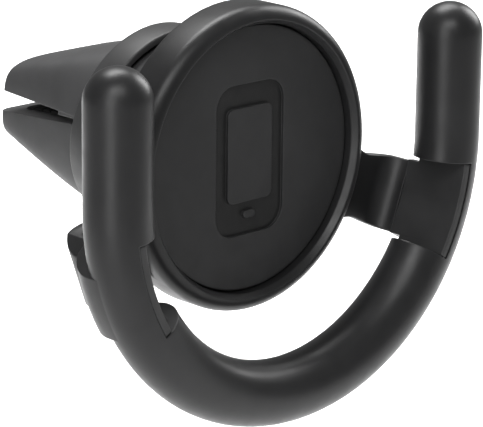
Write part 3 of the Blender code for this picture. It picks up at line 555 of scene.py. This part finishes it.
def shell_ear():
    """An ear lying along +X: a flared strip that bends forwards through a quarter turn."""
    reach = HEAD_RADIUS + EAR_ROOT_FILLET
    offset = EAR_HALF_WIDTH + EAR_ROOT_FILLET
    along = math.sqrt(reach**2 - offset**2)
    turn = math.degrees(math.atan2(offset, along))
    edge = arc((along, offset), EAR_ROOT_FILLET, -180 + turn, -90, 14)
    edge += [(WINDOW_RADIUS + 0.2, EAR_SEAM_HALF_WIDTH), (EAR_OUTER_RADIUS + 0.6, EAR_HALF_WIDTH - 0.8)]
    inside = HEAD_RADIUS - 0.7
    outline = edge + [(x, -z) for x, z in reversed(edge)] + arc((0, 0), inside, -turn, turn, 10)
    strip = plate(outline, "Y", -10, -2)
    inner_bend = WINDOW_RADIUS - (EAR_FRONT_Y - SEAM_Y)
    outer_bend = EAR_BACK_Y - SEAM_Y
    front = arc((inner_bend, SEAM_Y), WINDOW_RADIUS - inner_bend, 90, 0, 14)
    back = arc((EAR_OUTER_RADIUS - outer_bend, SEAM_Y), outer_bend, 0, 90, 16)
    start = inside - 2
    bend = plate([(start, EAR_FRONT_Y), *front, *back, (start, EAR_BACK_Y)], "Z", -9, 9)
    return soften(carve(strip, bend, operation="INTERSECT"), 0.16, seam_y=SEAM_Y)


rim = arc((HEAD_RADIUS - RIM_ROUNDING, RIM_FRONT_Y + RIM_ROUNDING), RIM_ROUNDING, 0, -90, 14)
shell = lathe([
    (0, WEB_BACK_Y, 0), (COVER_RADIUS + 0.1, WEB_BACK_Y, 0.1), (COVER_RADIUS + 0.1, HOUSING_BACK_Y, 0.1),
    (HEAD_RADIUS, HOUSING_BACK_Y, 0.3), *[(radius, y, 0) for radius, y in rim],
    (LIP_RADIUS, LIP_Y, 0.1), (LIP_RADIUS, DISH_FLOOR_Y, 0.1), (0, DISH_FLOOR_Y, 0),
], steps=192)
for side in (1, -1):
    ear = shell_ear()
    turn = Matrix.Rotation(-EAR_ANGLE, 4, "Y")
    mirror = Matrix.Diagonal((side, 1, 1, 1))
    bmesh.ops.transform(ear, matrix=mirror @ turn, verts=ear.verts)
    shell = carve(shell, ear, operation="UNION")
fit_piece(shell, "head_shell", head_axes, shell_black, "hard_black", "head", "head_frame")

# ---------------------------------------------------------------- adhesive disc
# A thin disc of pale acrylic foam tape bonds the pad into the dish. It is cut from sheet, and hidden by
# the pad.

foam_tape = moulded_plastic("foam_tape", (0.35, 0.34, 0.31), 0.85, grain=0.08, relief=0.8, rub_and_highlight=0.0)
refinish(foam_tape, "adhesive_disc")

# ---------------------------------------------------------------- face pad
# A disc of matt black polymer stuck in the dish. Its face has a sunk pictogram of a phone, its floor painted
# darker as shade in the recess, with the screen and the button left standing.

pad_black = moulded_plastic("pad_black", (0.017, 0.017, 0.0175), 0.52, grain=0.12, relief=0.35, rub_and_highlight=0.5)
PAD_RADIUS, PAD_FRONT_Y, PAD_BACK_Y = 12.6, -7.15, -6.45
SIGN_DEPTH = 0.32


def rounded_slab(width, height, corner, front_y, back_y, centre_z=0.0):
    """A rounded rectangle in the plane of the pad's face, extruded through it."""
    bm = bmesh.new()
    half_x, half_z = width / 2, height / 2
    corners = [(-half_x, -half_z), (half_x, -half_z), (half_x, half_z), (-half_x, half_z)]
    face = bm.faces.new([bm.verts.new((x, front_y, z + centre_z)) for x, z in corners])
    round_off(bm, face.verts[:], corner, segments=10)
    return thicken(bm, (0, back_y - front_y, 0))


pad = lathe([
    (0, PAD_BACK_Y, 0), (PAD_RADIUS, PAD_BACK_Y, 0), (PAD_RADIUS, PAD_FRONT_Y, 0.16), (0, PAD_FRONT_Y, 0)
], steps=192)
sign_floor = PAD_FRONT_Y + SIGN_DEPTH
sunk = rounded_slab(8.6, 14.4, 2.1, PAD_FRONT_Y - 1, sign_floor)
screen = rounded_slab(5.6, 9.0, 0.7, PAD_FRONT_Y - 2, sign_floor + 1, 0.45)
button = rounded_slab(1.5, 0.7, 0.34, PAD_FRONT_Y - 2, sign_floor + 1, -5.3)
sunk = carve(sunk, screen, button)
pad = carve(pad, sunk)
pad = fit_piece(pad, "phone_pad", head_axes, pad_black, "pad_black", "head", "face_pad")
# The sunk floor gets a darker material: painted shade in the recess.
pad.data.materials.append(moulded_plastic("sign_painted_shade", (0.006, 0.006, 0.006), 0.6, grain=0.1, rub_and_highlight=0.1))
for face in pad.data.polygons:
    if abs((face.center.y - ball_centre.y) / MM - sign_floor) < 0.01:
        face.material_index = 1

# ---------------------------------------------------------------- cradle bar
# The cradle is a round bar bent to a U, with domed prongs: a stiff core inside a soft-touch black sleeve.
# Behind each window the sleeve is stretched back to meet the ear, and the window is cut away inside it.

sleeve_black = moulded_plastic("sleeve_black", (0.013, 0.013, 0.0135), 0.37, grain=0.18, relief=0.2)
CRADLE_Y, BAR_RADIUS, HALF_SPACING, PRONG_RISE = -12.6, 3.1, 21.0, 9.75
WINDOW_ANGLES, BLOCK_ANGLES = (-6.8, -32.4), (-9.4, -30.0)
BLOCK_EXTENSION, BLOCK_BACK_Y = 1.5, SEAM_Y - 0.12
BLOCK_CORNER = ((20.7, -9.0), (22.8, -12.3), (27, -6))
INSERT_OUTER = WINDOW_RADIUS + 0.75


def cradle_bar():
    """Half a turn of the bar's section, run up straight at both ends and closed with domes."""
    bm = bmesh.new()
    flat = Matrix.Translation((HALF_SPACING, CRADLE_Y, 0))
    ring = bmesh.ops.create_circle(bm, segments=64, radius=BAR_RADIUS, matrix=flat)
    section = ring["verts"] + bm.edges[:]
    bmesh.ops.spin(
        bm, geom=section, cent=(0, CRADLE_Y, 0), axis=(0, 1, 0), dvec=(0, 0, 0), angle=math.pi, steps=112,
        use_merge=False, use_duplicate=False,
    )
    for side in (1, -1):
        end = [edge for edge in bm.edges if edge.is_boundary and edge.verts[0].co.x * side > 0]
        centre = Vector((side * HALF_SPACING, CRADLE_Y, 0))
        lifts = [PRONG_RISE / 6] * 6
        scales = [1.0] * 6
        rise, width = 0.0, 1.0
        for step in range(1, 15):
            a = 0.5 * math.pi * step / 15
            lifts.append(BAR_RADIUS * math.sin(a) - rise)
            scales.append(math.cos(a) / width)
            rise, width = BAR_RADIUS * math.sin(a), math.cos(a)
        for lift, scale in zip(lifts, scales):
            grown = bmesh.ops.extrude_edge_only(bm, edges=end)["geom"]
            verts = [item for item in grown if isinstance(item, bmesh.types.BMVert)]
            end = [item for item in grown if isinstance(item, bmesh.types.BMEdge)]
            bmesh.ops.translate(bm, verts=verts, vec=(0, 0, lift))
            bmesh.ops.scale(bm, verts=verts, vec=(scale, scale, 1), space=Matrix.Translation(-centre))
        tip = bmesh.ops.extrude_edge_only(bm, edges=end)["geom"]
        verts = [item for item in tip if isinstance(item, bmesh.types.BMVert)]
        bmesh.ops.pointmerge(bm, verts=verts, merge_co=centre + Vector((0, 0, PRONG_RISE + BAR_RADIUS)))
    return bm


def ring_sector(section, angles, side, steps=36):
    """A closed section of (radius, y) swept about the head's axis between two angles in degrees."""
    bm = bmesh.new()
    start, end = (math.radians(angle) for angle in angles)
    corners = [(side * r * math.cos(start), y, r * math.sin(start)) for r, y in section]
    face = bm.faces.new([bm.verts.new(corner) for corner in corners])
    bmesh.ops.spin(
        bm, geom=[face, *face.verts, *face.edges], cent=(0, 0, 0), axis=(0, 1, 0), dvec=(0, 0, 0),
        angle=-side * (end - start), steps=steps, use_merge=False, use_duplicate=False,
    )
    return bm


def rectangle(inner, outer, front_y, back_y):
    return [(inner, front_y), (outer, front_y), (outer, back_y), (inner, back_y)]


bar = cradle_bar()
for side in (1, -1):
    centre_y = CRADLE_Y + BLOCK_EXTENSION
    last = math.degrees(math.asin((BLOCK_BACK_Y - centre_y) / BAR_RADIUS))
    section = [
        (HALF_SPACING - 1.2, CRADLE_Y), (HALF_SPACING + BAR_RADIUS, CRADLE_Y),
        *arc((HALF_SPACING, centre_y), BAR_RADIUS, 0, last, 12), (HALF_SPACING - 1.2, BLOCK_BACK_Y),
    ]
    inside, outside, far = (
        Vector((side * r * math.cos(math.radians(a)), r * math.sin(math.radians(a))))
        for r, a in BLOCK_CORNER
    )
    corner = plate([inside, far, inside.lerp(outside, 2.4)], "Y", CRADLE_Y - 1, BLOCK_BACK_Y + 1)
    stretch = soften(ring_sector(section, BLOCK_ANGLES, side), 0.18, seam_y=BLOCK_BACK_Y)
    bar = carve(bar, carve(stretch, corner), operation="UNION")
for side in (1, -1):
    room = rectangle(15, INSERT_OUTER + 0.1, CRADLE_Y - 4, SEAM_Y + 2)
    bar = carve(bar, ring_sector(room, WINDOW_ANGLES, side))
fit_piece(bar, "cradle_bar", head_axes, sleeve_black, "soft_black", "head", "cradle_sleeve")

# ---------------------------------------------------------------- cradle core and ear dowels
# The core is a rod of black glass-filled nylon, bent to a U and hidden in the sleeve, which it keeps stiff.
# A drawn steel dowel pins it to each ear.

refinish(socket_nylon, "cradle_core")
refinish(drawn_steel, "ear_dowel_left", "ear_dowel_right")

# ---------------------------------------------------------------- window inserts
# A hard, smooth black plate faces each window, where the phone grip's edge slides in. It is moulded apart
# from the sleeve, and reaches back to the seam with the ear.

insert_black = moulded_plastic("insert_black", (0.026, 0.026, 0.0265), 0.36, grain=0.1, relief=0.12)
INSERT_FRONT_Y, ROUND_BACK_Y = CRADLE_Y - 2.98, CRADLE_Y + 2.9
INSERT_END_GAP = 0.25

for side, word in ((1, "right"), (-1, "left")):
    plates = ring_sector(
        rectangle(WINDOW_RADIUS, INSERT_OUTER, INSERT_FRONT_Y, BLOCK_BACK_Y),
        (WINDOW_ANGLES[0] - INSERT_END_GAP, WINDOW_ANGLES[1] + INSERT_END_GAP), side,
    )
    for angles in ((WINDOW_ANGLES[0] + 2, BLOCK_ANGLES[0]), (BLOCK_ANGLES[1], WINDOW_ANGLES[1] - 2)):
        corner = rectangle(WINDOW_RADIUS - 1, INSERT_OUTER + 1, ROUND_BACK_Y, SEAM_Y + 2)
        plates = carve(plates, ring_sector(corner, angles, side, steps=8))
    fit_piece(
        soften(plates, 0.12), "window_insert_" + word, head_axes, insert_black, "hard_black", "head",
        "grip_insert_" + word,
    )

# ---------------------------------------------------------------- light, floor and camera
# A pale floor lies well below the mount, lit by its own lamp. Three soft boxes light the mount: one high in
# front, a tall strip to the left, and one to the right that shines along the inside of the U.

FLOOR_DROP = 60 * MM
pale, *_, pale_shader = new_material("pale_floor")
pale_shader.inputs["Base Color"].default_value = (0.9, 0.9, 0.9, 1)
pale_shader.inputs["Roughness"].default_value = 0.9
bm = bmesh.new()
bmesh.ops.create_grid(bm, x_segments=1, y_segments=1, size=3)
floor_mesh = bpy.data.meshes.new("floor")
bm.to_mesh(floor_mesh)
bm.free()
floor = add_object("floor", floor_mesh)
floor.location.z = cad_bounds[0].z - FLOOR_DROP
floor.data.materials.append(pale)

world = bpy.data.worlds.new("studio")
bpy.context.scene.world = world
world.use_nodes = True
world.node_tree.nodes["Background"].inputs["Color"].default_value = (1, 1, 1, 1)
world.node_tree.nodes["Background"].inputs["Strength"].default_value = 0.27


def soft_box(name, place, aim, width, height, power, spread=180):
    light = bpy.data.lights.new(name, "AREA")
    light.shape = "RECTANGLE"
    light.size, light.size_y, light.energy = width, height, power
    light.spread = math.radians(spread)
    lamp = add_object(name, light)
    lamp.location = place
    lamp.rotation_euler = (Vector(aim) - Vector(place)).to_track_quat("-Z", "Y").to_euler()


soft_box("backdrop_light", (0.25, 0.35, 0.5), (0.22, 0.25, -0.08), 0.5, 0.5, 2.8, spread=80)
soft_box("top_light", (-0.16, -0.20, 0.26), (0, -0.01, 0), 0.2, 0.14, 0.4)
soft_box("left_strip", (-0.26, -0.14, 0.06), (0, -0.01, 0), 0.12, 0.5, 0.7)
soft_box("right_box", (0.30, -0.02, 0.15), (0, -0.01, 0), 0.14, 0.2, 0.7)

bpy.context.scene.view_settings.view_transform = "Standard"

VIEW_YAW, VIEW_PITCH, VIEW_ROLL = (math.radians(angle) for angle in (43.771, 15.818, 0.593))
VIEW_DISTANCE, VIEW_LENS = 255.47 * MM, 211.39
AIM = ball_centre + Vector((-6.25, -12.6, -2.97)) * MM
back = Vector((-math.sin(VIEW_YAW), -math.cos(VIEW_YAW), math.tan(VIEW_PITCH))).normalized()
right = Vector((0, 0, 1)).cross(back).normalized()
turn = Matrix.Rotation(VIEW_ROLL, 3, back)
right, up_line = turn @ right, turn @ back.cross(right)
camera_data = bpy.data.cameras.new("camera")
camera_data.sensor_width = 36
camera_data.lens = VIEW_LENS
camera = add_object("camera", camera_data)
facing = Matrix((right, up_line, back)).transposed().to_4x4()
camera.matrix_world = Matrix.Translation(AIM + back * VIEW_DISTANCE) @ facing
bpy.context.scene.camera = camera
